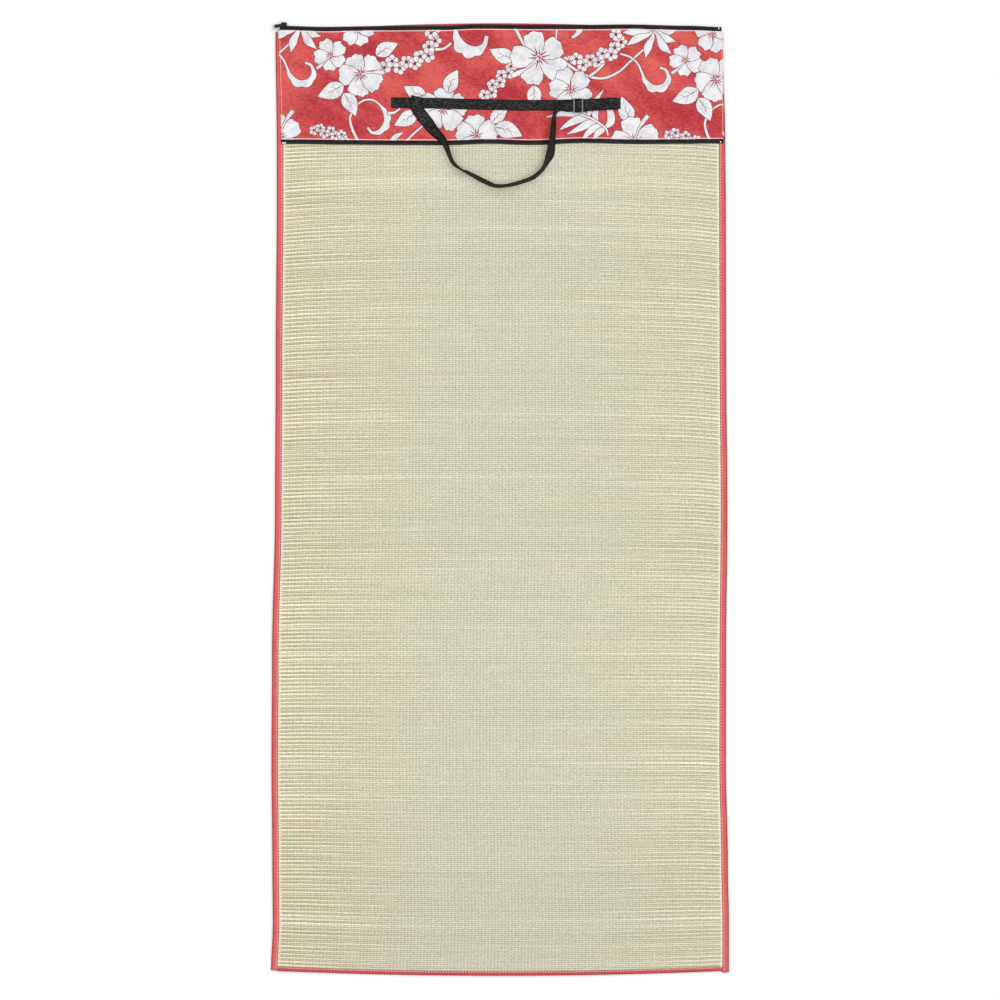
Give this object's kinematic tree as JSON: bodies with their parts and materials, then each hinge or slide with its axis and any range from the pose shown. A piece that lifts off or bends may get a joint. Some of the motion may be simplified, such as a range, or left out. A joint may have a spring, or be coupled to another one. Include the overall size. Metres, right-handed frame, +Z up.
{
  "type": "beach mat",
  "caption": "Roll-up beach mat of woven rush with bound edges, a flower-printed cloth cover panel with zip halves across its head, and a webbing carry strap.",
  "frame": {"origin": "centre of the mat's box, on the ground it lies on", "axes": "+X across the mat to the right as seen in the picture, +Y from the foot to the head with the cover panel, +Z up"},
  "size_m": [0.864, 1.7987, 0.0286],
  "materials": {
    "rush": "dry woven rush stems, pale straw with paler and browner rows",
    "binding_tape": "bright red woven tape, stitched along its inner edge",
    "printed_cloth": "red plain-weave cloth printed with white flowers and leaves",
    "zip_tape": "black woven zip tape with a nylon coil",
    "zip_enamel": "black enamel worn bright at its tip",
    "zip_metal": "bare pressed metal",
    "webbing": "black ribbed polypropylene webbing",
    "slide_plastic": "black moulded plastic"
  },
  "bodies": {
    "root": {"straw_mat": "rush", "binding_left": "binding_tape", "binding_right": "binding_tape", "binding_foot": "binding_tape", "binding_head": "binding_tape", "cover_panel": "printed_cloth", "zip_upper": "zip_tape", "zip_lower": "zip_tape", "zip_slider": "zip_enamel", "zip_pull": "zip_enamel", "zip_stop_upper": "zip_metal", "zip_stop_lower": "zip_metal", "zip_pin": "zip_metal", "strap_base": "webbing", "strap_loop": "webbing", "strap_slide": "slide_plastic"}
  },
  "joints": []
}
